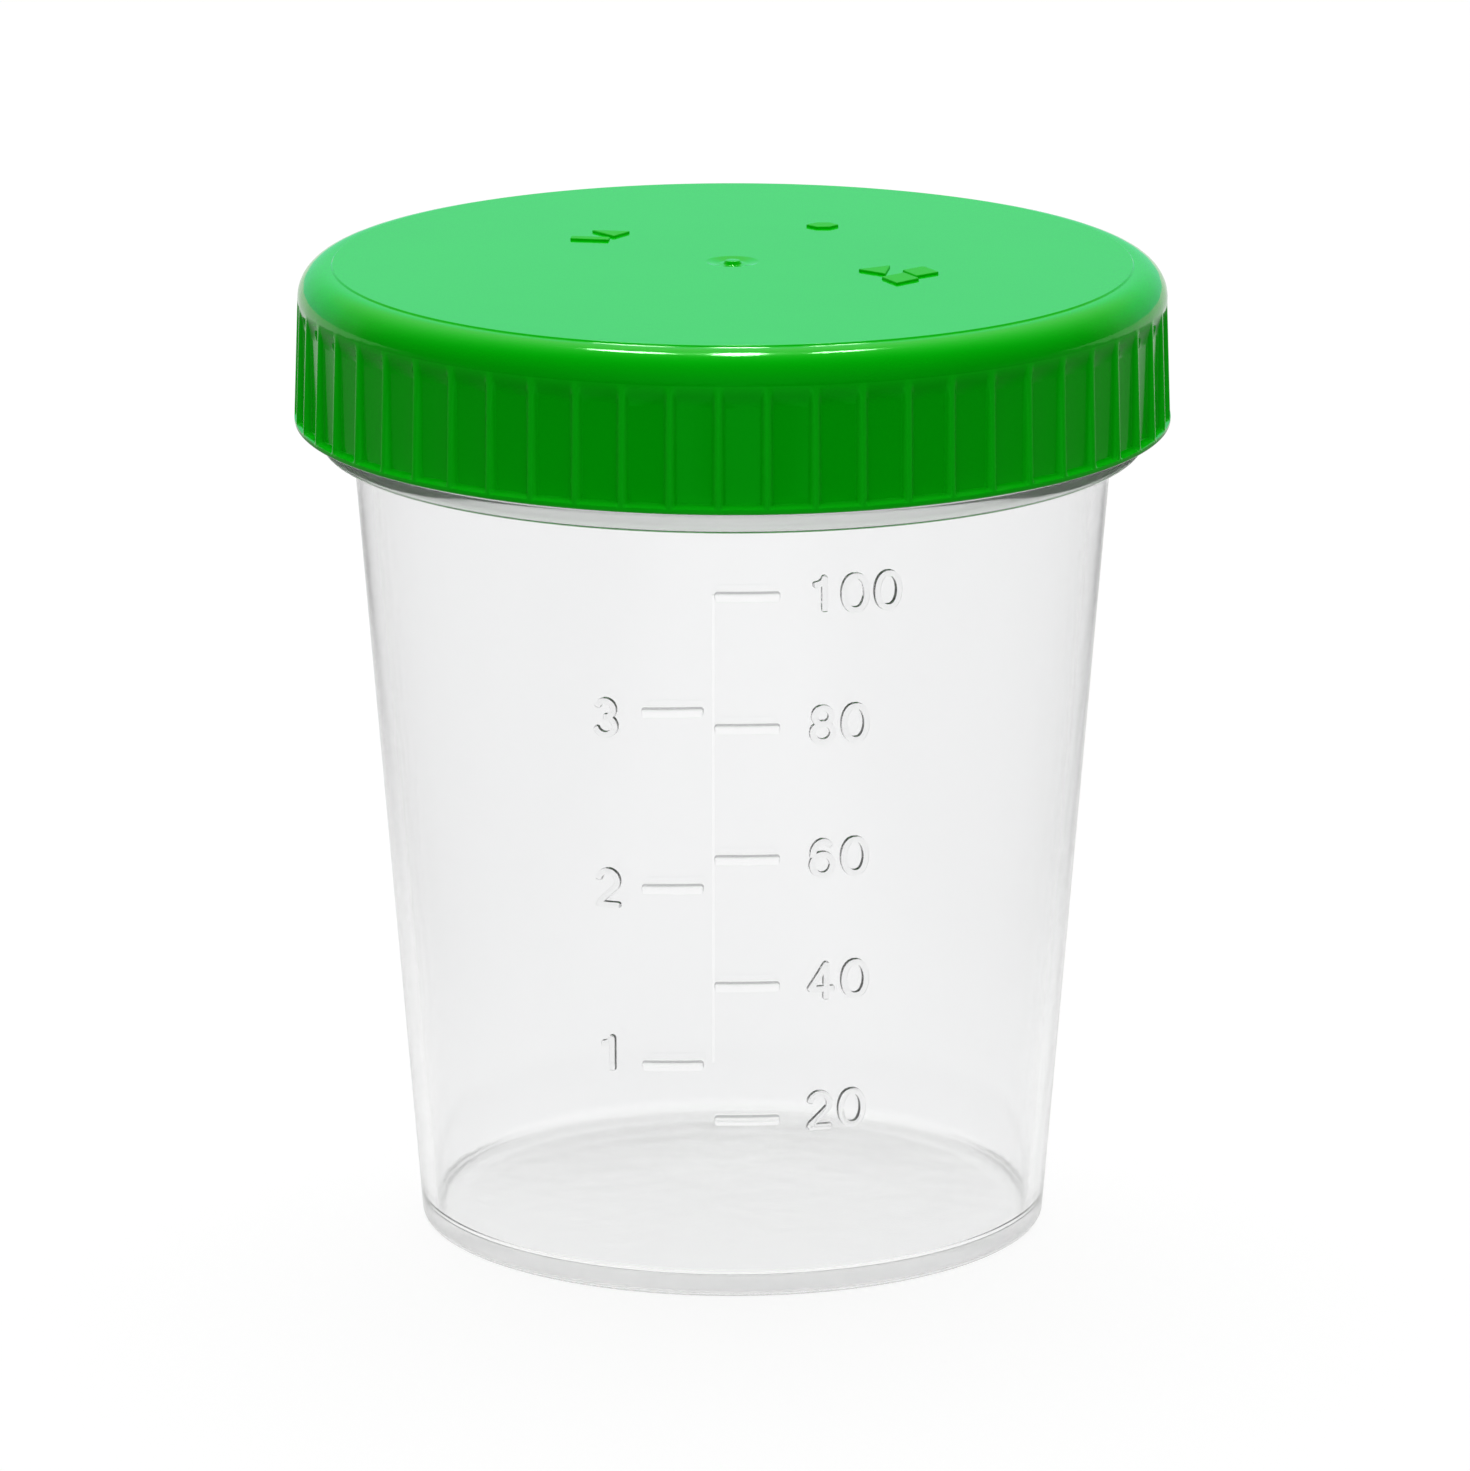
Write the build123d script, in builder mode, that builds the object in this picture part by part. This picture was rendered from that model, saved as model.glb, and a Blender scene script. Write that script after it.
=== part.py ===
"""Screw-top specimen container: a tapered moulded cup with a flange, a threaded neck and
raised graduations, and the one-piece moulded screw lid that closes it.

Millimetres, +Z up. The origin is on the cup's axis, in the plane that the foot stands on.
The graduations are on the -Y side. The lid is shown screwed down.
"""
import os
from math import cos, degrees, radians, sin

from build123d import *

# Cup body
base_radius = 23.7
shoulder_radius = 28.6
body_height = 60.1
wall = 1.2
floor_height = 1.5
floor_rounding = 1.2
base_rounding = 1.0

# Foot: the middle of the underside is raised, so the cup stands on a ring
foot_width = 2.2
foot_recess = 0.4
foot_slope_width = 0.5
foot_rounding = 0.3

# Flange under the lid
flange_overhang = 1.3
flange_thickness = 1.6
flange_rounding = 0.45
flange_root_rounding = 0.4

# Neck and its thread
neck_step = 1.2
neck_wall = 1.4
neck_height = 11.0
neck_root_rounding = 0.3
rim_rounding = 0.45
bore_blend_height = 1.0
bore_blend_rounding = 0.8
thread_depth = 0.9
thread_root_width = 2.2
thread_crest_width = 0.8
thread_pitch = 4.0
thread_start = 3.0
thread_rim_margin = 2.0
thread_start_angle = 40.0
thread_sink = 0.3

# Raised graduations
line_offset = -1.4
line_width = 0.25
line_proud = 0.1
mark_length = 4.75
mark_root_width = 0.75
mark_crest_width = 0.4
mark_proud = 0.3
mark_sink = 0.3
mark_top_margin = 3.0
millilitre_gap = 0.15
first_millilitre_mark = 14.4
millilitre_spacing = 10.15
ounce_gap = 0.45
first_ounce_mark = 18.6
ounce_spacing = 13.8

# Lid shell
skirt_gap = 0.3
seat_clearance = 0.1
thread_clearance = 0.4
skirt_wall = 1.3
skirt_draft = 0.4
lid_top_thickness = 1.2
crown_rounding = 2.35
lid_edge_rounding = 0.25
lid_corner_rounding = 0.5
panel_step = 0.12
panel_margin = 0.1

# Seal: a ring under the lid that plugs the neck
plug_clearance = 0.3
plug_wall = 0.9
plug_depth = 2.2
plug_lead_in = 0.35

# Grip: shallow slots round the skirt with narrow ribs between them
grip_count = 58
grip_depth = 0.6
grip_rib_width = 0.8
grip_ledge = 0.55
grip_top_margin = 0.1
grip_top_rounding = 0.9
grip_phase = 1.3

# Gate mark at the middle of the lid
gate_dish_radius = 2.0
gate_dish_depth = 0.15
gate_nub_radius = 0.7
gate_nub_height = 0.25

# Heights and radii that follow
neck_radius = shoulder_radius + neck_step
flange_radius = neck_radius + flange_overhang
flange_top = body_height + flange_thickness
rim_height = flange_top + neck_height
neck_bore = neck_radius - neck_wall
lid_bottom = flange_top + skirt_gap
lid_ceiling = rim_height + seat_clearance
lid_top = lid_ceiling + lid_top_thickness
lid_bore = neck_radius + thread_depth + thread_clearance
grip_floor = lid_bore + skirt_wall
lid_radius = grip_floor + grip_depth
crown_level = lid_top - panel_step


def wall_radius(height):
    """Outside radius of the tapered wall at a height above the foot."""
    return base_radius + (shoulder_radius - base_radius) * height / body_height


def upright_plane(angle):
    """Plane through the axis, turned by angle from the graduated side: x out, y up."""
    outward = Vector(sin(radians(angle)), -cos(radians(angle)), 0)
    return Plane(origin=(0, 0, 0), x_dir=outward, z_dir=outward.cross(Vector(0, 0, 1)))


def arc_angle(length, height):
    """Angle that a length measured round the wall spans at a height."""
    return degrees(length / wall_radius(height))


def turned_profile(corners):
    """Closed half-section from (point, rounding) pairs, x out from the axis and y up."""
    with BuildSketch(Plane.XZ) as profile:
        with BuildLine():
            FilletPolyline(
                [point for point, _ in corners],
                radius=[rounding for _, rounding in corners],
                close=True,
            )
        make_face()
    return profile.sketch


def add_cup_body():
    """Wall, floor, foot, flange and neck as one turned profile."""
    foot_inner = base_radius - base_rounding - foot_width
    corners = [
        ((0, foot_recess), 0),
        ((foot_inner - foot_slope_width, foot_recess), foot_rounding),
        ((foot_inner, 0), foot_rounding),
        ((base_radius, 0), base_rounding),
        ((shoulder_radius, body_height), flange_root_rounding),
        ((flange_radius, body_height), flange_rounding),
        ((flange_radius, flange_top), flange_rounding),
        ((neck_radius, flange_top), neck_root_rounding),
        ((neck_radius, rim_height), rim_rounding),
        ((neck_bore, rim_height), rim_rounding),
        ((neck_bore, flange_top + bore_blend_height), bore_blend_rounding),
        ((shoulder_radius - wall, body_height), bore_blend_rounding),
        ((wall_radius(floor_height) - wall, floor_height), floor_rounding),
        ((0, floor_height), 0),
    ]
    revolve(turned_profile(corners), axis=Axis.Z)


def add_neck_thread():
    """One trapezoidal ridge that climbs the neck, right-handed."""
    with BuildLine(Plane.XY.rotated((0, 0, thread_start_angle))):
        path = Helix(
            pitch=thread_pitch,
            height=neck_height - thread_start - thread_rim_margin,
            radius=neck_radius,
            center=(0, 0, flange_top + thread_start),
        )
    start = path @ 0
    outward = Vector(start.X, start.Y, 0)
    with BuildSketch(Plane(origin=start, x_dir=outward, z_dir=path % 0)) as ridge:
        with BuildLine():
            Polyline(
                (-thread_sink, -thread_root_width / 2),
                (thread_depth, -thread_crest_width / 2),
                (thread_depth, thread_crest_width / 2),
                (-thread_sink, thread_root_width / 2),
                close=True,
            )
        make_face()
    sweep(ridge.sketch, path=path, is_frenet=True)


def add_mark(height, start):
    """A level ridge that follows the wall, from start measured round it."""
    radius = wall_radius(height)
    with BuildSketch(upright_plane(arc_angle(start, height))) as ridge:
        with BuildLine():
            Polyline(
                (radius - mark_sink, height - mark_root_width / 2),
                (radius, height - mark_root_width / 2),
                (radius + mark_proud, height - mark_crest_width / 2),
                (radius + mark_proud, height + mark_crest_width / 2),
                (radius, height + mark_root_width / 2),
                (radius - mark_sink, height + mark_root_width / 2),
                close=True,
            )
        make_face()
    revolve(ridge.sketch, axis=Axis.Z, revolution_arc=arc_angle(mark_length, height))


def mark_heights(first, spacing):
    """Heights of the marks that fit on the wall below the flange."""
    last = body_height - mark_top_margin
    return [first + spacing * step for step in range(int((last - first) / spacing) + 1)]


def add_graduations():
    """Millilitre marks right of a fine upright line, ounce marks left of it."""
    millilitre_heights = mark_heights(first_millilitre_mark, millilitre_spacing)
    for height in millilitre_heights:
        add_mark(height, line_offset + millilitre_gap)
    for height in mark_heights(first_ounce_mark, ounce_spacing):
        add_mark(height, line_offset - ounce_gap - mark_length)
    low = first_ounce_mark
    high = millilitre_heights[-1]
    with BuildSketch(upright_plane(arc_angle(line_offset, (low + high) / 2))) as line:
        with BuildLine():
            Polyline(
                (wall_radius(low) - mark_sink, low),
                (wall_radius(low) + line_proud, low),
                (wall_radius(high) + line_proud, high),
                (wall_radius(high) - mark_sink, high),
                close=True,
            )
        make_face()
    extrude(line.sketch, amount=line_width / 2, both=True)


def add_lid_shell():
    """Panel, rounded crown, skirt and bevelled plug ring as one turned profile."""
    crown_radius = lid_radius - skirt_draft
    panel_radius = crown_radius - crown_rounding - panel_margin
    plug_radius = neck_bore - plug_clearance
    plug_bottom = lid_ceiling - plug_depth
    corners = [
        ((0, lid_top), 0),
        ((panel_radius - panel_step, lid_top), 0),
        ((panel_radius, crown_level), 0),
        ((crown_radius, crown_level), crown_rounding),
        ((lid_radius, lid_bottom), lid_edge_rounding),
        ((lid_bore, lid_bottom), lid_edge_rounding),
        ((lid_bore, lid_ceiling), lid_corner_rounding),
        ((plug_radius, lid_ceiling), 0),
        ((plug_radius, plug_bottom + plug_lead_in), 0),
        ((plug_radius - plug_lead_in, plug_bottom), 0),
        ((plug_radius - plug_wall, plug_bottom), 0),
        ((plug_radius - plug_wall, lid_ceiling), 0),
        ((0, lid_ceiling), 0),
    ]
    revolve(turned_profile(corners), axis=Axis.Z)


def grip_plane(angle, height):
    """Plane of one slot's floor, facing out: x across the slot, y up."""
    outward = Vector(sin(radians(angle)), -cos(radians(angle)), 0)
    origin = outward * grip_floor + Vector(0, 0, height)
    return Plane(origin=origin, x_dir=Vector(0, 0, 1).cross(outward), z_dir=outward)


def cut_grip_slots():
    """Flat-floored slots with rounded tops, open to the outside, above a plain ledge."""
    pitch = 2 * lid_radius * sin(radians(180 / grip_count))
    low = lid_bottom + grip_ledge
    high = crown_level - crown_rounding - grip_top_margin
    angles = [grip_phase + 360 * step / grip_count for step in range(grip_count)]
    with BuildSketch(*[grip_plane(angle, (low + high) / 2) for angle in angles]) as slots:
        Rectangle(pitch - grip_rib_width, high - low)
        fillet(slots.vertices().group_by(Axis.Y)[-1], grip_top_rounding)
    extrude(slots.sketch, amount=grip_depth + wall, mode=Mode.SUBTRACT)


def add_gate_mark():
    """Shallow dish with a small nub, where the moulding was fed."""
    dish_floor = lid_top - gate_dish_depth
    corners = [
        ((0, dish_floor), 0),
        ((gate_dish_radius / 2, dish_floor), 0),
        ((gate_dish_radius, lid_top), 0),
        ((0, lid_top), 0),
    ]
    revolve(turned_profile(corners), axis=Axis.Z, mode=Mode.SUBTRACT)
    with BuildSketch(Plane.XY.offset(dish_floor)) as nub:
        Circle(gate_nub_radius)
    extrude(nub.sketch, amount=gate_nub_height)


with BuildPart() as container:
    add_cup_body()
    add_graduations()
    add_neck_thread()

with BuildPart() as lid:
    add_lid_shell()
    cut_grip_slots()
    add_gate_mark()

os.makedirs("parts", exist_ok=True)
container.part.label = "container"
export_step(container.part, "parts/container.step")
lid.part.label = "lid"
export_step(lid.part, "parts/lid.step")
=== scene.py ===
"""Screw-top specimen container: clear tapered cup with raised graduations, and its green lid.

Metres, +Z up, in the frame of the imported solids. Sizes are written in millimetres and
turned into metres by MM. The graduations are on the -Y side.
"""

from math import cos, hypot, pi, radians, sin

import bmesh
import bpy
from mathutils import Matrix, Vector


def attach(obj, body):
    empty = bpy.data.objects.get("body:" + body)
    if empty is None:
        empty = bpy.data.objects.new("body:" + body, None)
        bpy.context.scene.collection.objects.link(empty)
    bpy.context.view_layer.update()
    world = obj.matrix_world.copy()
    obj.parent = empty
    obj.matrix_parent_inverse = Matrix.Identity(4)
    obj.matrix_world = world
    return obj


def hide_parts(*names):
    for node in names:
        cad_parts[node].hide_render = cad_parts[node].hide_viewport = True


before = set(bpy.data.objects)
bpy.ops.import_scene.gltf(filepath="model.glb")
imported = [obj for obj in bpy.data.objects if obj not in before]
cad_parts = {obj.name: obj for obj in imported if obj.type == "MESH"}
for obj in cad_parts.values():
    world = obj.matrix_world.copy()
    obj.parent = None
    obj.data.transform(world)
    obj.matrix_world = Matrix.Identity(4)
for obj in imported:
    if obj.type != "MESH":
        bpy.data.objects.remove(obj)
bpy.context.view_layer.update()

MM = 0.001

# Cup
BASE_RADIUS = 23.7
SHOULDER_RADIUS = 28.6
BODY_HEIGHT = 60.1
WALL = 1.2
FLOOR_HEIGHT = 1.5
TAPER = (SHOULDER_RADIUS - BASE_RADIUS) / BODY_HEIGHT
FOOT_RECESS = 0.4
FOOT_WIDTH = 3.2
FLANGE_RADIUS = 31.1
FLANGE_TOP = 61.7
BORE_BLEND_HEIGHT = 1.0
NECK_RADIUS = 29.8
NECK_BORE = 28.4
RIM_HEIGHT = 72.7
CUP_COLUMNS = 300

# Lid
LID_BOTTOM = 62.0
LID_CEILING = 72.8
LID_TOP = 74.0
LID_BORE = 31.1
LID_RADIUS = 33.0
CROWN_RADIUS = 32.6
CROWN_LEVEL = 73.88
CROWN_ROUNDING = 2.35
PANEL_RADIUS = 30.15
PLUG_RADIUS = 28.1
PLUG_WALL = 0.9
PLUG_BOTTOM = 70.6
PLUG_LEAD_IN = 0.35
GATE_DISH_RADIUS = 2.0
GATE_DISH_DEPTH = 0.15
GATE_NUB_HEIGHT = 0.25
MARK_HEIGHT_ON_LID = 0.18
MARK_SINK_IN_LID = 0.1

# Grip slots
SLOT_COUNT = 58
SLOT_FLOOR = 32.4
SLOT_BOTTOM = 62.43
SLOT_TOP = 71.5
SLOT_PHASE = 1.3
COLUMNS_PER_SLOT = 12

# Threads
THREAD_PITCH = 4.0
THREAD_TURNS = 1.5
THREAD_START = FLANGE_TOP + 3.0
THREAD_START_ANGLE = 130.0
LID_THREAD_TURNS = 1.4
LID_THREAD_DROP = 1.6

# Ridges: root width, crest width, height, depth of the root in the wall, softness of the edges
MARK_SECTION = (1.1, 0.50, 0.46, 0.3, 0.04)
LINE_SECTION = (0.42, 0.20, 0.095, 0.3, 0.03)
NUMBER_SECTION = (0.56, 0.44, 0.36, 0.25, 0.03)
NECK_THREAD_SECTION = (2.2, 0.8, 0.9, 0.3, 0.15)
LID_THREAD_SECTION = (2.1, 0.7, 0.75, 0.25, 0.15)
MARK_LEAN = 0.24

# Graduations: x is the distance round the wall from the middle of the front, y the height
LINE_X = -1.4
LINE_ENDS = (18.6, 55.0)
MILLILITRE_HEIGHTS = (14.3, 24.8, 34.7, 44.85, 55.0)
MILLILITRE_ENDS = (-1.15, 3.3)
OUNCE_HEIGHTS = (18.6, 32.45, 46.15)
OUNCE_ENDS = (-6.55, -2.3)
OUNCE_TILT = 0.22
MARK_END_WIDTH = 0.4
# Text, left edge and middle height of each number
NUMBERS = [
    ("100", 5.98, 54.85),
    ("80", 5.85, 44.85),
    ("60", 5.85, 34.50),
    ("40", 5.75, 24.90),
    ("20", 5.70, 14.75),
    ("3", -10.2, 45.20),
    ("2", -10.1, 32.00),
    ("1", -9.82, 18.95),
]
DIGIT_HEIGHT = 2.62
DIGIT_GAP = 0.84
MOST_STROKES = 3
STROKE = 0.42
# Where a stroke's round ends have their points, in radians from its last full width
END_ANGLES = (0.6, 1.1, 1.4)

# Camera: focal length and sideways shift in pixels of a picture this wide
PICTURE_WIDTH = 1470
FOCAL_LENGTH = 10871.1
SIDEWAYS_SHIFT = 2.45
SENSOR_WIDTH = 36.0
CAMERA_PLACE = (0.0, -0.8, 0.23935)
CAMERA_DOWN = 14.175

# Highlight cards: how high on the axis they aim, and how far away they stand, in metres
GLINT_AIM = 0.06
GLINT_DISTANCE = 0.9

WHITE = (1.0, 1.0, 1.0, 1.0)


class Value:
    """A socket of a node tree that takes part in a sum; each operator adds its Math node."""

    def __init__(self, graph, socket):
        self.graph = graph
        self.socket = socket

    def math(self, operation, *others):
        sockets = dict(enumerate((self, *others)))
        return self.graph.value("ShaderNodeMath", {"operation": operation}, sockets)

    def __add__(self, other):
        return self.math("ADD", other)

    __radd__ = __add__

    def __mul__(self, other):
        return self.math("MULTIPLY", other)

    __rmul__ = __mul__

    def __sub__(self, other):
        return self.math("SUBTRACT", other)

    def __rsub__(self, other):
        return self.math("MULTIPLY_ADD", -1.0, other)

    def __truediv__(self, other):
        return self.math("DIVIDE", other)

    def __rtruediv__(self, other):
        return self.math("POWER", -1.0).math("MULTIPLY", other)

    def __pow__(self, power):
        return self.math("POWER", power)

    def smooth(self, low, high):
        """0 below low, 1 above high, with a soft step between them."""
        settings = {"interpolation_type": "SMOOTHSTEP"}
        return self.graph.value("ShaderNodeMapRange", settings, {0: self, 1: low, 2: high})


class Graph:
    """A node tree that every kind of node is added to by one method."""

    def __init__(self, tree):
        self.tree = tree

    def node(self, kind, settings=None, sockets=None):
        """Adds a node: its settings first, then the value or link of each named socket."""
        node = self.tree.nodes.new(kind)
        for name, setting in (settings or {}).items():
            setattr(node, name, setting)
        for name, content in (sockets or {}).items():
            if isinstance(content, Value):
                self.tree.links.new(content.socket, node.inputs[name])
            else:
                node.inputs[name].default_value = content
        return node

    def value(self, kind, settings=None, sockets=None, output=0):
        """Adds a node and returns one of its outputs."""
        return Value(self, self.node(kind, settings, sockets).outputs[output])

    def parts(self, vector):
        """The three numbers of a vector."""
        split = self.node("ShaderNodeSeparateXYZ", sockets={0: vector})
        return [Value(self, split.outputs[axis]) for axis in range(3)]

    def blend(self, share, low, high):
        """A colour between low and high."""
        sockets = {0: share, 6: low, 7: high}
        return self.value("ShaderNodeMix", {"data_type": "RGBA"}, sockets, output=2)


# ---------------------------------------------------------------- finishes


def new_material(name):
    """A material with an empty tree, its Graph and its Object coordinates."""
    material = bpy.data.materials.new(name)
    material.use_nodes = True
    material.node_tree.nodes.clear()
    graph = Graph(material.node_tree)
    place = graph.value("ShaderNodeTexCoord", output="Object")
    return material, graph, place


def noise(graph, place, scale, detail=2.0, stretch=(1.0, 1.0, 1.0)):
    """Noise from 0 to 1 at so many lumps to the metre; a stretch below 1 draws them out."""
    stretched = graph.value("ShaderNodeMapping", sockets={"Vector": place, "Scale": stretch})
    sockets = {"Vector": stretched, "Scale": scale, "Detail": detail}
    return graph.value("ShaderNodeTexNoise", sockets=sockets)


def clear_plastic():
    """Slightly milky moulded polypropylene: see-through, with faint flow waves and haze. Painted shade
    darkens the flanks of the raised graduations, the number crests and a band under the flange; the
    raised marks themselves are painted lighter than the wall.
    """
    material, graph, place = new_material("clear_plastic")
    haze = noise(graph, place, 45.0, 3.0, (1.0, 1.0, 0.35))
    waves = noise(graph, place, 260.0, 2.0, (1.0, 1.0, 0.25))
    x, y, z = graph.parts(place)
    radius = (x * x + y * y) ** 0.5
    proud = (radius - BASE_RADIUS * MM - z * TAPER) * z.math("LESS_THAN", (BODY_HEIGHT - 1.5) * MM)
    # Painted shade: the flank bands of the raised graduations, the number crests and a band just under
    # the flange are blended towards grey, standing in for the dark lines that refraction and shade put
    # there.
    flank = proud.smooth(0.10 * MM, 0.12 * MM) * (1 - proud.smooth(0.30 * MM, 0.33 * MM))
    digit = proud.smooth(0.30 * MM, 0.33 * MM) * (1 - proud.smooth(0.39 * MM, 0.42 * MM))
    above_body = z.math("GREATER_THAN", (BODY_HEIGHT - 0.1) * MM)
    under_flange = above_body * (1 - z.smooth(BODY_HEIGHT * MM, (BODY_HEIGHT + 0.4) * MM))
    flange = z.math("GREATER_THAN", (BODY_HEIGHT + 0.3) * MM)
    flange = flange * radius.math("GREATER_THAN", (NECK_RADIUS + 0.3) * MM)
    foot = 1 - z.smooth(0.5 * MM, 0.9 * MM)
    raised = proud.smooth(0.03 * MM, 0.045 * MM)
    base = 1 - z.smooth(1.5 * MM, 2.5 * MM)
    # Painted light: the raised marks take the untinted white, so they read brighter than the wall. The
    # bottom band takes it too, and the haze patches lighten it at random.
    lighter_marks_base_and_haze = raised.math("MAXIMUM", base).math("MAXIMUM", haze * 0.4)
    # Painted shade: how far each place is darkened towards grey.
    shade = (flank * 0.92).math("MAXIMUM", digit * 0.22).math("MAXIMUM", under_flange * 0.5)
    body = graph.blend(lighter_marks_base_and_haze, (0.89, 0.891, 0.894, 1.0), WHITE)
    painted_shade_colour = graph.blend(shade, body, (0.28, 0.28, 0.29, 1.0))
    bump = graph.value("ShaderNodeBump", sockets={"Strength": 0.05, "Distance": 0.0003, "Height": waves})
    plastic = graph.value(
        "ShaderNodeBsdfPrincipled",
        sockets={
            "Base Color": painted_shade_colour,
            "Roughness": 0.04 + haze * 0.05 + foot * 0.06,
            "IOR": 1.45,
            "Transmission Weight": 1.0,
            "Normal": bump,
        },
    )
    milk = graph.value("ShaderNodeBsdfTranslucent", sockets={"Color": (0.95, 0.95, 0.955, 1.0)})
    milkiness = 0.004 + haze * 0.01 + flange * 0.35
    milky = graph.value("ShaderNodeMixShader", sockets={0: milkiness, 1: plastic, 2: milk})
    grey = {"Color": (0.5, 0.5, 0.5, 1.0), "Density": 5.0}
    cloudy = graph.value("ShaderNodeVolumeAbsorption", sockets=grey)
    graph.node("ShaderNodeOutputMaterial", sockets={0: milky, 1: cloudy})
    return material


def green_plastic(name, roughness):
    """Deep green polyethylene with a faint moulded ripple; the ribs of the grip are painted lighter, a
    painted highlight for the light they catch.
    """
    material, graph, place = new_material(name)
    cloud = noise(graph, place, 60.0, 3.0)
    grain = noise(graph, place, 2200.0, 2.0)
    ripple = noise(graph, place, 180.0, 2.0)
    x, y, z = graph.parts(place)
    radius = (x * x + y * y) ** 0.5
    # Painted highlight: the ribs of the grip are made a lighter green than the slot floors between them,
    # standing in for the light the ribs catch and the shade in the slots.
    rib = radius.smooth((SLOT_FLOOR + 0.1) * MM, (SLOT_FLOOR + 0.35) * MM)
    rib = rib * z.math("LESS_THAN", SLOT_TOP * MM)
    deep = graph.blend(cloud, (0.0, 0.67, 0.002, 1.0), (0.0, 0.74, 0.004, 1.0))
    colour = graph.blend(rib * 0.45, deep, (0.01, 0.98, 0.015, 1.0))
    bump = graph.value(
        "ShaderNodeBump",
        sockets={"Strength": 0.04, "Distance": 0.0002, "Height": ripple + grain * 0.05},
    )
    plastic = graph.value(
        "ShaderNodeBsdfPrincipled",
        sockets={
            "Base Color": colour,
            "Roughness": roughness + cloud * 0.05,
            "IOR": 1.5,
            "Specular IOR Level": 0.35,
            "Specular Tint": (0.05, 1.0, 0.08, 1.0),
            "Normal": bump,
        },
    )
    graph.node("ShaderNodeOutputMaterial", sockets={0: plastic})
    return material


CLEAR = clear_plastic()
GREEN = green_plastic("green_plastic", 0.06)
MATT_GREEN = green_plastic("matt_green_plastic", 0.5)


# ---------------------------------------------------------------- shapes


def add_object(name, data):
    """An object at the origin that carries the data."""
    piece = bpy.data.objects.new(name, data)
    bpy.context.collection.objects.link(piece)
    return piece


def curve_object(name, lines):
    """Straight-run curves from (points, closed) pairs; a point is x, y, z and a radius."""
    data = bpy.data.curves.new(name, "CURVE")
    data.dimensions = "3D"
    for points, closed in lines:
        spline = data.splines.new("POLY")
        spline.points.add(len(points) - 1)
        for point, (x, y, z, radius) in zip(spline.points, points):
            point.co = (x * MM, y * MM, z * MM, 1.0)
            point.radius = radius
        spline.use_cyclic_u = closed
    return add_object(name, data)


def new_shape_tree(name, numbers):
    """A Geometry Nodes tree with named number inputs; returns its Graph, geometry and inputs."""
    tree = bpy.data.node_groups.new(name, "GeometryNodeTree")
    tree.interface.new_socket("Geometry", in_out="INPUT", socket_type="NodeSocketGeometry")
    for number in numbers:
        tree.interface.new_socket(number, in_out="INPUT", socket_type="NodeSocketFloat")
    tree.interface.new_socket("Geometry", in_out="OUTPUT", socket_type="NodeSocketGeometry")
    graph = Graph(tree)
    start = graph.node("NodeGroupInput")
    values = {number: Value(graph, start.outputs[number]) for number in numbers}
    return graph, Value(graph, start.outputs[0]), values


def end_shape_tree(graph, shape, material):
    """Realises the shape, gives it its material and ends the tree."""
    smooth = graph.value("GeometryNodeSetShadeSmooth", sockets={"Geometry": shape})
    real = graph.value("GeometryNodeRealizeInstances", sockets={"Geometry": smooth})
    painted = graph.value("GeometryNodeSetMaterial", sockets={"Geometry": real, "Material": material})
    graph.node("NodeGroupOutput", sockets={0: painted})


def made_mesh(piece, tree, numbers):
    """Runs a tree on a curve object and returns the result as a plain mesh object."""
    modifier = piece.modifiers.new("shape", "NODES")
    modifier.node_group = tree
    for item in tree.interface.items_tree:
        if item.in_out == "INPUT" and item.name in numbers:
            modifier[item.identifier] = float(numbers[item.name])
    return plain_mesh(piece)


def plain_mesh(piece, recalculate=True):
    """Replaces an object by the plain mesh of what its modifiers make."""
    bpy.context.view_layer.update()
    graph = bpy.context.evaluated_depsgraph_get()
    mesh = bpy.data.meshes.new_from_object(piece.evaluated_get(graph), depsgraph=graph)
    name = piece.name
    bpy.data.objects.remove(piece)
    if recalculate:
        shell = bmesh.new()
        shell.from_mesh(mesh)
        bmesh.ops.remove_doubles(shell, verts=shell.verts, dist=1e-7)
        bmesh.ops.recalc_face_normals(shell, faces=shell.faces)
        shell.to_mesh(mesh)
        shell.free()
    mesh.name = name
    return add_object(name, mesh)


def soften(piece, angle=35.0):
    """Smooth shading that keeps flat areas flat and sharp edges sharp."""
    piece.data.set_sharp_from_angle(angle=radians(angle))
    weighted = piece.modifiers.new("normals", "WEIGHTED_NORMAL")
    weighted.keep_sharp = True
    return plain_mesh(piece, recalculate=False)


def turned(graph, profile, columns):
    """Rounds each corner of a half-section by its radius and turns it about the Z axis."""
    radius = graph.value("GeometryNodeInputRadius")
    rounded = graph.value(
        "GeometryNodeFilletCurve",
        {"mode": "POLY"},
        {"Curve": profile, "Count": 3 + radius * 3000.0, "Radius": radius, "Limit Radius": True},
    )
    section = graph.value(
        "GeometryNodeTransform",
        sockets={"Geometry": rounded, "Translation": (-MM, 0.0, 0.0), "Scale": (1.0, -1.0, 1.0)},
    )
    ring = graph.value("GeometryNodeCurvePrimitiveCircle", sockets={"Resolution": columns, "Radius": MM})
    upright = graph.value("GeometryNodeSetCurveNormal", {"mode": "Z_UP"}, {"Curve": ring})
    shell = graph.value(
        "GeometryNodeCurveToMesh",
        sockets={"Curve": upright, "Profile Curve": section, "Scale": 1.0},
    )
    return graph.value("GeometryNodeMergeByDistance", sockets={"Geometry": shell, "Distance": 2e-6})


def turned_tree():
    """Tree for a plain turned piece."""
    graph, profile, values = new_shape_tree("turned", ["Columns"])
    end_shape_tree(graph, turned(graph, profile, values["Columns"]), CLEAR)
    return graph.tree


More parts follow.
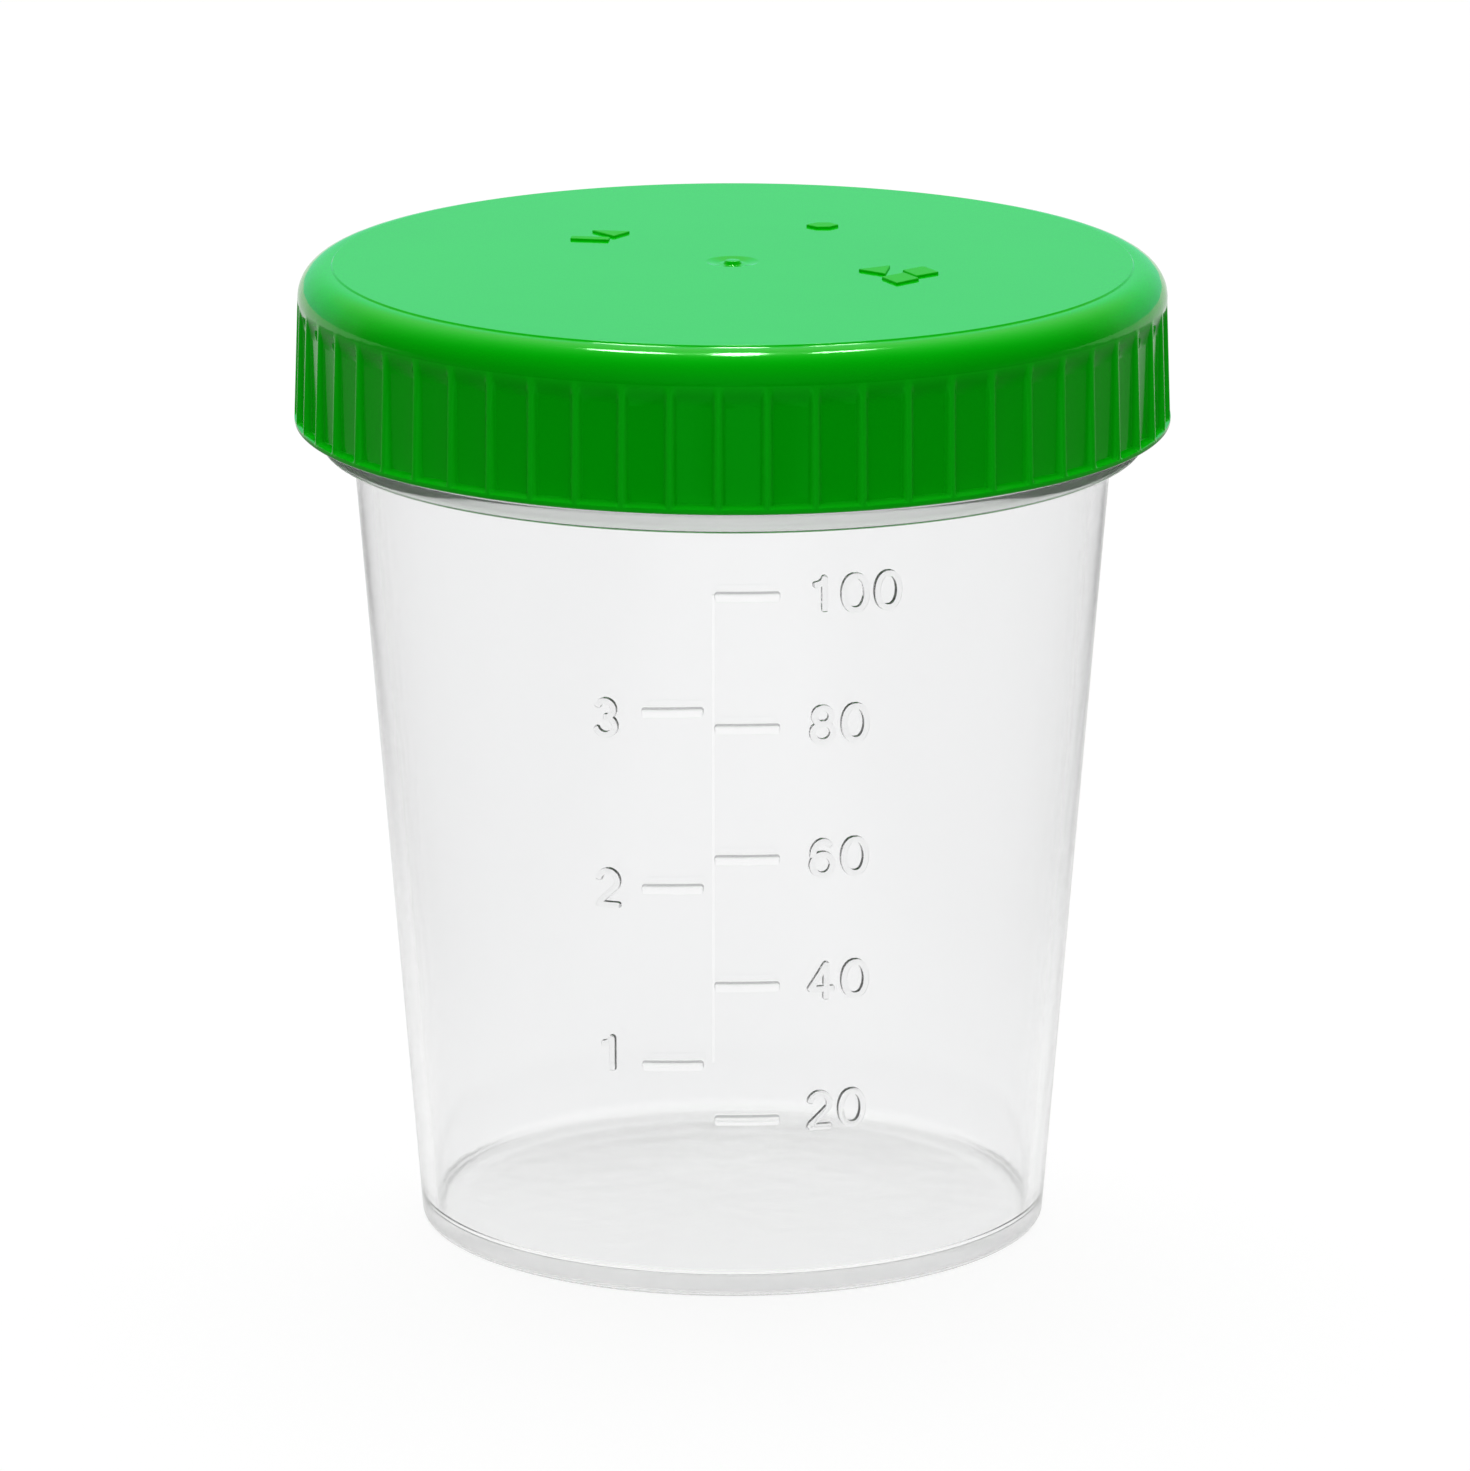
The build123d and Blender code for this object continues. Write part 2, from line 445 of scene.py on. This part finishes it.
def gripped_tree(rib):
    """Tree for the lid: a turned shell whose skirt is sunk into slots, one rib section apart."""
    names = ["Slots", "Columns", "Slot floor", "Slot bottom", "Slot top", "Phase"]
    graph, profile, given = new_shape_tree("gripped", names)
    shell = turned(graph, profile, given["Slots"] * given["Columns"])
    x, y, z = graph.parts(graph.value("GeometryNodeInputPosition"))
    radius = (x * x + y * y) ** 0.5
    pitch = 2 * pi / given["Slots"]
    turn = x.math("ARCTAN2", y * -1.0)
    column = (turn / (pitch / given["Columns"])).math("ROUND")
    slot = (column / given["Columns"] + 0.001).math("FLOOR")
    index = column - slot * given["Columns"]
    section = graph.value("GeometryNodeObjectInfo", sockets={"Object": rib}, output="Geometry")
    place = graph.value("GeometryNodeInputPosition")
    sample = graph.value(
        "GeometryNodeSampleIndex",
        {"data_type": "FLOAT_VECTOR", "domain": "POINT"},
        {"Geometry": section, "Value": place, "Index": index},
    )
    share, sunk, _ = graph.parts(sample)
    offset = (share - 0.5) * pitch
    angle = slot * pitch + share * pitch + given["Phase"]
    below_top = 1 - z.smooth(given["Slot top"] - 1.5 * MM, given["Slot top"] + 0.15 * MM)
    ledge = ((z - given["Slot bottom"]) * 2.0).math("MAXIMUM", 0.0)
    outside = radius.math("GREATER_THAN", given["Slot floor"] - 0.6 * MM)
    floor = given["Slot floor"] / offset.math("COSINE")
    full = (radius - floor).math("MAXIMUM", 0.0)
    depth = full.math("MINIMUM", ledge) * sunk * below_top * outside
    sunken = radius - depth
    moved = graph.value(
        "ShaderNodeCombineXYZ",
        sockets={0: sunken * angle.math("SINE"), 1: sunken * angle.math("COSINE") * -1.0, 2: z},
    )
    lid = graph.value("GeometryNodeSetPosition", sockets={"Geometry": shell, "Position": moved})
    end_shape_tree(graph, lid, GREEN)
    return graph.tree


def ridge_tree(name, material):
    """Tree that sweeps a ridge along flat lines and bends it round a tapered wall.

    A line's x is the way round, its y the height, and its z how far it stands off the wall.
    """
    section_names = ["Root width", "Crest width", "Lean", "Proud", "Sink", "Softness"]
    names = section_names + ["Wall radius", "Taper", "Outward"]
    graph, lines, given = new_shape_tree(name, names)
    section = graph.value(
        "GeometryNodeCurvePrimitiveQuadrilateral",
        {"mode": "TRAPEZOID"},
        {
            "Height": given["Proud"] + given["Sink"],
            "Bottom Width": given["Root width"],
            "Top Width": given["Crest width"],
            "Offset": given["Lean"],
        },
    )
    soft = graph.value(
        "GeometryNodeFilletCurve",
        {"mode": "POLY"},
        {"Curve": section, "Count": 2, "Radius": given["Softness"], "Limit Radius": True},
    )
    middle = graph.value("ShaderNodeCombineXYZ", sockets={1: (given["Sink"] - given["Proud"]) * 0.5})
    placed = graph.value(
        "GeometryNodeTransform",
        sockets={"Geometry": soft, "Translation": middle, "Scale": (1.0, -1.0, 1.0)},
    )
    upright = graph.value("GeometryNodeSetCurveNormal", {"mode": "Z_UP"}, {"Curve": lines})
    ridge = graph.value(
        "GeometryNodeCurveToMesh",
        sockets={
            "Curve": upright,
            "Profile Curve": placed,
            "Scale": graph.value("GeometryNodeInputRadius"),
            "Fill Caps": True,
        },
    )
    x, y, z = graph.parts(graph.value("GeometryNodeInputPosition"))
    wall = given["Wall radius"] + given["Taper"] * y
    angle = x / wall
    radius = wall + given["Outward"] * z
    bent = graph.value(
        "ShaderNodeCombineXYZ",
        sockets={0: radius * angle.math("SINE"), 1: radius * angle.math("COSINE") * -1.0, 2: y},
    )
    moved = graph.value("GeometryNodeSetPosition", sockets={"Geometry": ridge, "Position": bent})
    end_shape_tree(graph, moved, material)
    return graph.tree


# ---------------------------------------------------------------- cup


def wall_radius(height):
    return BASE_RADIUS + TAPER * height


def cup_profile():
    """Half-section of the cup from the middle of its underside, round the outside, to its floor.

    The wall has a row of points every millimetre where the graduations join it.
    """
    corners = [
        (0.0, FOOT_RECESS, 0.0),
        (BASE_RADIUS - FOOT_WIDTH, 0.0, 3.0),
        (BASE_RADIUS, 0.0, 0.6),
        *[(wall_radius(height), height, 0.0) for height in range(12, 58)],
        (SHOULDER_RADIUS, BODY_HEIGHT, 0.4),
        (FLANGE_RADIUS, BODY_HEIGHT, 0.75),
        (FLANGE_RADIUS, FLANGE_TOP, 0.45),
        (NECK_RADIUS, FLANGE_TOP, 0.3),
        (NECK_RADIUS, RIM_HEIGHT, 0.45),
        (NECK_BORE, RIM_HEIGHT, 0.45),
        (NECK_BORE, FLANGE_TOP + BORE_BLEND_HEIGHT, 0.8),
        (SHOULDER_RADIUS - WALL, BODY_HEIGHT, 0.8),
        (wall_radius(FLOOR_HEIGHT) - WALL, FLOOR_HEIGHT, 0.7),
        (0.0, FLOOR_HEIGHT, 0.0),
    ]
    return [(x, z, 0.0, rounding * MM) for x, z, rounding in corners]


def arc(middle_x, middle_y, half_width, half_height, start, end, steps):
    """Points on an ellipse from one angle to another, in degrees."""
    angles = [radians(start + (end - start) * step / steps) for step in range(steps + 1)]
    return [(middle_x + half_width * cos(a), middle_y + half_height * sin(a)) for a in angles]


def run(*corners, steps=6):
    """Evenly spaced points along straight runs."""
    points = [corners[0]]
    for (x0, y0), (x1, y1) in zip(corners, corners[1:]):
        shares = [step / steps for step in range(1, steps + 1)]
        points += [(x0 + (x1 - x0) * share, y0 + (y1 - y0) * share) for share in shares]
    return points


def zero_line():
    """Centre line of a nought, slightly squarer than an ellipse."""
    angles = [radians(7.5 + 15 * step) for step in range(24)]
    return [(0.33 + 0.33 * cos(a) * abs(cos(a)) ** -0.15, 0.5 + 0.5 * sin(a)) for a in angles]


def digit_lines():
    """Widths and centre lines of the digits, one unit tall; a line is (points, closed)."""
    two_tail = [(0.40, 0.42), (0.22, 0.24), (0.06, 0.09), (0.02, 0.0)]
    return {
        "0": (0.66, [(zero_line(), True)]),
        "1": (
            0.53,
            [
                (run((0.30, 0.98), (0.30, 0.06)), False),
                (arc(0.02, 1.04, 0.28, 0.24, -88, -10, 5), False),
            ],
        ),
        "2": (
            0.60,
            [
                (arc(0.30, 0.71, 0.28, 0.29, 168, -28, 14) + two_tail, False),
                (run((0.02, 0.0), (0.60, 0.0)), False),
            ],
        ),
        "3": (
            0.58,
            [
                (arc(0.28, 0.76, 0.24, 0.24, 160, -90, 16), False),
                (arc(0.28, 0.265, 0.28, 0.265, 90, -160, 18), False),
            ],
        ),
        "4": (
            0.66,
            [
                (run((0.46, 1.0), (0.0, 0.27)), False),
                (run((0.0, 0.27), (0.64, 0.27)), False),
                (run((0.46, 1.0), (0.46, 0.0)), False),
            ],
        ),
        "6": (
            0.60,
            [
                (arc(0.32, 0.56, 0.30, 0.44, 48, 178, 10), False),
                (arc(0.30, 0.31, 0.29, 0.31, 0, 345, 23), True),
            ],
        ),
        "8": (
            0.60,
            [
                (arc(0.30, 0.76, 0.245, 0.24, 0, 342, 19), True),
                (arc(0.30, 0.27, 0.29, 0.27, 0, 342, 19), True),
            ],
        ),
    }


def round_ended(points, closed, width):
    """Gives a stroke a radius that falls to nothing in a half circle at its open ends."""
    middle = [(x, y, 0.0, 1.0) for x, y in points]
    if closed:
        return middle
    ends = []
    for (x0, y0), (x1, y1) in ((points[0], points[1]), (points[-1], points[-2])):
        reach = width / 2 / hypot(x0 - x1, y0 - y1)
        out_x, out_y = (x0 - x1) * reach, (y0 - y1) * reach
        ends.append([(x0 + out_x * sin(a), y0 + out_y * sin(a), 0.0, cos(a)) for a in END_ANGLES])
    return ends[0][::-1] + middle + ends[1]


def number_lines(layer):
    """Centre lines of the first, second or third stroke of every digit, laid flat."""
    shapes = digit_lines()
    lines = []
    for text, start, middle in NUMBERS:
        left = start
        foot = middle - 0.5 * DIGIT_HEIGHT
        for digit in text:
            width, strokes = shapes[digit]
            for points, closed in strokes[layer : layer + 1]:
                placed = [(left + x * DIGIT_HEIGHT, foot + y * DIGIT_HEIGHT) for x, y in points]
                lines.append((round_ended(placed, closed, STROKE), closed))
            left += width * DIGIT_HEIGHT + DIGIT_GAP
    return lines


def mark_lines():
    """Centre lines of the millilitre marks and of the slightly tilted ounce marks, laid flat."""
    lines = []
    marks = [(height, MILLILITRE_ENDS, 0.0) for height in MILLILITRE_HEIGHTS]
    marks += [(height, OUNCE_ENDS, OUNCE_TILT) for height in OUNCE_HEIGHTS]
    for height, (left, right), tilt in marks:
        points = run((left, height - tilt), (right, height), steps=8)
        lines.append((round_ended(points, False, MARK_END_WIDTH), False))
    return lines


def upright_line():
    """Centre line of the upright graduation line, laid flat."""
    low, high = LINE_ENDS
    return [(LINE_X, low + (high - low) * step / 24, 0.0, 1.0) for step in range(25)]


def thread_line(wall, start, turns, depth, run_out=20.0):
    """Centre line of a right-handed thread, laid flat, whose ends sink into the wall."""
    steps = int(turns * 120)
    points = []
    for step in range(steps + 1):
        turned_by = 360.0 * turns * step / steps
        ends = min(turned_by, 360.0 * turns - turned_by) / run_out
        sink = depth * max(0.0, 1.0 - ends) ** 2
        along = radians(THREAD_START_ANGLE + turned_by) * wall
        points.append((along, start + THREAD_PITCH * turned_by / 360.0, -sink, 1.0))
    return points


def add_ridges(name, lines, tree, section, wall, taper, outward=1.0, lean=0.0):
    """One mesh of ridges bent round a wall; outward is -1 where they stand inside it."""
    root, crest, proud, sink, softness = section
    sizes = {
        "Root width": root * MM,
        "Crest width": crest * MM,
        "Lean": lean * MM,
        "Proud": proud * MM,
        "Sink": sink * MM,
        "Softness": softness * MM,
        "Wall radius": wall * MM,
        "Taper": taper,
        "Outward": outward,
    }
    return made_mesh(curve_object(name, lines), tree, sizes)


def merge(piece, others):
    """Unites solids into the first of them."""
    for other in others:
        join = piece.modifiers.new(other.name, "BOOLEAN")
        join.operation = "UNION"
        join.solver = "MANIFOLD"
        join.object = other
    merged = plain_mesh(piece, recalculate=False)
    for other in others:
        bpy.data.objects.remove(other)
    return merged


def build_cup():
    """The cup as one closed surface: turned body, marks, line, numbers and thread."""
    cup = curve_object("clear_cup", [(cup_profile(), False)])
    cup = made_mesh(cup, turned_tree(), {"Columns": CUP_COLUMNS})
    tree = ridge_tree("ridges_on_cup", CLEAR)
    wall = (BASE_RADIUS, TAPER)
    line = [(upright_line(), False)]
    thread = [(thread_line(NECK_RADIUS, THREAD_START, THREAD_TURNS, 1.0), False)]
    ridges = [
        add_ridges("marks", mark_lines(), tree, MARK_SECTION, *wall, lean=MARK_LEAN),
        add_ridges("upright_line", line, tree, LINE_SECTION, *wall),
        *[
            add_ridges("numbers", number_lines(layer), tree, NUMBER_SECTION, *wall)
            for layer in range(MOST_STROKES)
        ],
        add_ridges("neck_thread", thread, tree, NECK_THREAD_SECTION, NECK_RADIUS, 0.0),
    ]
    return soften(merge(cup, ridges))


# ---------------------------------------------------------------- lid


def skirt_radius(height):
    return LID_RADIUS + (CROWN_RADIUS - LID_RADIUS) * (height - LID_BOTTOM) / (CROWN_LEVEL - LID_BOTTOM)


def lid_profile():
    """Half-section of the lid from the middle of its top, round the outside, to its ceiling.

    The skirt has close rows of points where the slots begin and end.
    """
    slot_ends = (71.53, 71.42, 71.30, 71.17, 71.04, 70.90, 70.75, 70.6, 70.4, 70.2, 70.0, 69.8)
    slot_feet = (68.0, 65.5, 63.4, 62.80, 62.74, 62.68, 62.60, 62.52, 62.46, 62.43)
    dish_floor = LID_TOP - GATE_DISH_DEPTH
    corners = [
        (0.0, dish_floor + GATE_NUB_HEIGHT, 0.0),
        (0.55, dish_floor + GATE_NUB_HEIGHT, 0.12),
        (0.72, dish_floor, 0.08),
        (1.1, dish_floor, 0.3),
        (GATE_DISH_RADIUS, LID_TOP, 0.6),
        (PANEL_RADIUS - 0.12, LID_TOP, 0.04),
        (PANEL_RADIUS, CROWN_LEVEL, 0.04),
        (CROWN_RADIUS, CROWN_LEVEL, CROWN_ROUNDING),
        *[(skirt_radius(height), height, 0.0) for height in slot_ends + slot_feet],
        (LID_RADIUS, LID_BOTTOM, 0.25),
        (LID_BORE, LID_BOTTOM, 0.25),
        (LID_BORE, LID_CEILING, 0.5),
        (PLUG_RADIUS, LID_CEILING, 0.15),
        (PLUG_RADIUS, PLUG_BOTTOM + PLUG_LEAD_IN, 0.1),
        (PLUG_RADIUS - PLUG_LEAD_IN, PLUG_BOTTOM, 0.1),
        (PLUG_RADIUS - PLUG_WALL, PLUG_BOTTOM, 0.1),
        (PLUG_RADIUS - PLUG_WALL, LID_CEILING, 0.15),
        (0.0, LID_CEILING, 0.0),
    ]
    return [(x, z, 0.0, rounding * MM) for x, z, rounding in corners]


def rib_section():
    """How far round a pitch each column stands, and how far into the slot it is, from 0 to 1."""
    side = [(0.0, 0.0), (0.035, 0.02), (0.060, 0.15), (0.090, 0.50), (0.120, 0.85), (0.150, 1.0)]
    points = side + [(0.5, 1.0)] + [(1 - x, y) for x, y in side[:0:-1]]
    mesh = bpy.data.meshes.new("rib_section")
    mesh.from_pydata([(x, y, 0.0) for x, y in points], [], [])
    return add_object("rib_section", mesh)


def build_lid():
    """The lid's shell, with its slots and gate mark."""
    rib = rib_section()
    sizes = {
        "Slots": SLOT_COUNT,
        "Columns": COLUMNS_PER_SLOT,
        "Slot floor": SLOT_FLOOR * MM,
        "Slot bottom": SLOT_BOTTOM * MM,
        "Slot top": SLOT_TOP * MM,
        "Phase": radians(SLOT_PHASE - 180.0 / SLOT_COUNT),
    }
    lid = curve_object("green_lid", [(lid_profile(), False)])
    lid = made_mesh(lid, gripped_tree(rib), sizes)
    bpy.data.objects.remove(rib)
    return soften(lid)


def build_lid_thread():
    """The ridge inside the lid that runs under the neck's thread."""
    tree = ridge_tree("ridge_in_lid", GREEN)
    start = THREAD_START - LID_THREAD_DROP
    lines = [(thread_line(LID_BORE, start, LID_THREAD_TURNS, 0.9), False)]
    return soften(add_ridges("lid_thread", lines, tree, LID_THREAD_SECTION, LID_BORE, 0.0, -1.0))


def build_lid_marks():
    """Small raised shapes on the lid: a bar, two triangles, a lens and two squares."""
    shapes = [
        [(-12.3, 7.9), (-9.4, 7.4), (-9.3, 8.3), (-12.2, 8.8)],
        [(-10.7, 11.0), (-7.8, 10.6), (-9.0, 8.8)],
        [(5.6, 13.1), (6.4, 12.3), (7.4, 12.3), (8.1, 13.1), (7.4, 13.9), (6.4, 13.9)],
        [(9.4, -3.6), (11.8, -2.2), (11.4, -5.2)],
        [(11.1, -6.4), (12.8, -4.8), (13.9, -6.9), (12.2, -8.6)],
        [(12.7, -3.9), (14.3, -2.5), (15.4, -4.6), (13.7, -6.0)],
    ]
    shell = bmesh.new()
    root = (LID_TOP - MARK_SINK_IN_LID) * MM
    for corners in shapes:
        face = shell.faces.new([shell.verts.new((x * MM, y * MM, root)) for x, y in corners])
        raised = bmesh.ops.extrude_face_region(shell, geom=[face])["geom"]
        top = [item for item in raised if isinstance(item, bmesh.types.BMVert)]
        rise = (MARK_SINK_IN_LID + MARK_HEIGHT_ON_LID) * MM
        bmesh.ops.translate(shell, verts=top, vec=(0.0, 0.0, rise))
    bmesh.ops.recalc_face_normals(shell, faces=shell.faces)
    mesh = bpy.data.meshes.new("lid_marks")
    shell.to_mesh(mesh)
    shell.free()
    mesh.materials.append(MATT_GREEN)
    marks = add_object("lid_marks", mesh)
    edge = marks.modifiers.new("soft edge", "BEVEL")
    edge.width = 0.08 * MM
    edge.segments = 3
    mesh.shade_smooth()
    return soften(plain_mesh(marks))


# ---------------------------------------------------------------- studio


def add_floor():
    """Pale floor that keeps a soft shadow; it glows less beside the cup where it is mirrored."""
    material, graph, place = new_material("pale_floor")
    path = graph.node("ShaderNodeLightPath")
    looked_at = Value(graph, path.outputs["Is Camera Ray"])
    mirrored = Value(graph, path.outputs["Is Glossy Ray"])
    seen_through = Value(graph, path.outputs["Is Transmission Ray"])
    across, depth, _ = graph.parts(place)
    beside = across.math("ABSOLUTE").smooth(0.035, 0.10) * (1 - depth.smooth(0.18, 0.30))
    reflected = mirrored * (0.75 - beside * 0.65)
    behind = seen_through * (0.97 + depth.smooth(0.0, 0.22) * 0.02)
    strength = (looked_at * 0.89).math("MAXIMUM", reflected).math("MAXIMUM", behind)
    matt = graph.value("ShaderNodeBsdfDiffuse", sockets={"Color": (0.15, 0.15, 0.15, 1.0)})
    glow = graph.value("ShaderNodeEmission", sockets={"Strength": strength})
    both = graph.value("ShaderNodeAddShader", sockets={0: matt, 1: glow})
    graph.node("ShaderNodeOutputMaterial", sockets={0: both})
    mesh = bpy.data.meshes.new("floor")
    corners = [(-4.0, -4.0), (4.0, -4.0), (4.0, 4.0), (-4.0, 4.0)]
    mesh.from_pydata([(x, y, -0.00002) for x, y in corners], [], [(0, 1, 2, 3)])
    mesh.materials.append(material)
    add_object("floor", mesh)


def set_sky():
    """Soft dome, brightest overhead; white where it is seen directly or through the cup."""
    world = bpy.data.worlds.new("studio")
    bpy.context.scene.world = world
    world.use_nodes = True
    world.node_tree.nodes.clear()
    graph = Graph(world.node_tree)
    way = graph.value("ShaderNodeTexCoord", output="Generated")
    _, ahead, height = graph.parts(way)
    height = height.math("MAXIMUM", 0.0)
    overhead = (height * 0.866 + ahead * 0.5).math("MAXIMUM", 0.0)
    front = (ahead * -1.0).math("MAXIMUM", 0.0)
    path = graph.node("ShaderNodeLightPath")
    looked_at = Value(graph, path.outputs["Is Camera Ray"])
    seen = looked_at.math("MAXIMUM", Value(graph, path.outputs["Is Transmission Ray"]))
    mirrored = Value(graph, path.outputs["Is Glossy Ray"])
    low = (1 - height.smooth(0.3, 0.6)) * ahead.smooth(0.3, 0.8) * mirrored
    dome = 0.22 - mirrored * 0.14 + overhead ** 4.0 * (2.0 - mirrored) + front ** 3.0 * 0.6
    dome = dome * (1 - low) + low
    cool = graph.blend(low, WHITE, (0.33, 0.88, 0.72, 1.0))
    light = {"Color": graph.blend(seen, cool, WHITE), "Strength": dome * (1 - seen) + seen}
    sky = graph.value("ShaderNodeBackground", sockets=light)
    graph.node("ShaderNodeOutputWorld", sockets={0: sky})


def add_glint(name, direction, size, brightness):
    """A bright card, in a direction from the cup's middle, that only gives the gloss a highlight."""
    data = bpy.data.lights.new(name, "AREA")
    data.shape = "ELLIPSE"
    data.size, data.size_y = size
    data.energy = brightness * pi * pi / 4 * size[0] * size[1]
    lamp = add_object(name, data)
    lamp.visible_diffuse = False
    lamp.visible_transmission = False
    way = Vector(direction).normalized()
    lamp.location = Vector((0.0, 0.0, GLINT_AIM)) + way * GLINT_DISTANCE
    lamp.rotation_euler = way.to_track_quat("Z", "Y").to_euler()


def add_camera():
    """A long lens in front of the graduations, looking slightly down."""
    data = bpy.data.cameras.new("camera")
    data.sensor_fit = "HORIZONTAL"
    data.sensor_width = SENSOR_WIDTH
    data.lens = FOCAL_LENGTH / PICTURE_WIDTH * SENSOR_WIDTH
    data.shift_x = SIDEWAYS_SHIFT / PICTURE_WIDTH
    camera = add_object("camera", data)
    camera.location = CAMERA_PLACE
    camera.rotation_euler = (radians(90 - CAMERA_DOWN), 0.0, 0.0)
    bpy.context.scene.camera = camera


cup = build_cup()
lid = build_lid()
lid_thread = build_lid_thread()
lid_marks = build_lid_marks()

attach(cup, "container")
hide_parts("container")
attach(lid, "lid")
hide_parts("lid")
for piece in (lid_thread, lid_marks):
    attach(piece, "lid")

add_floor()
set_sky()
add_glint("left_glint", (-0.148, 0.40, 0.905), (0.10, 0.16), 50.0)
add_glint("middle_glint", (0.008, 0.372, 0.928), (0.07, 0.26), 70.0)
add_glint("right_glint", (0.159, 0.409, 0.899), (0.07, 0.13), 50.0)
add_camera()
bpy.context.scene.view_settings.view_transform = "Standard"
bpy.context.scene.cycles.max_bounces = 24
bpy.context.scene.cycles.diffuse_bounces = 8
bpy.context.scene.cycles.glossy_bounces = 12
bpy.context.scene.cycles.transmission_bounces = 20
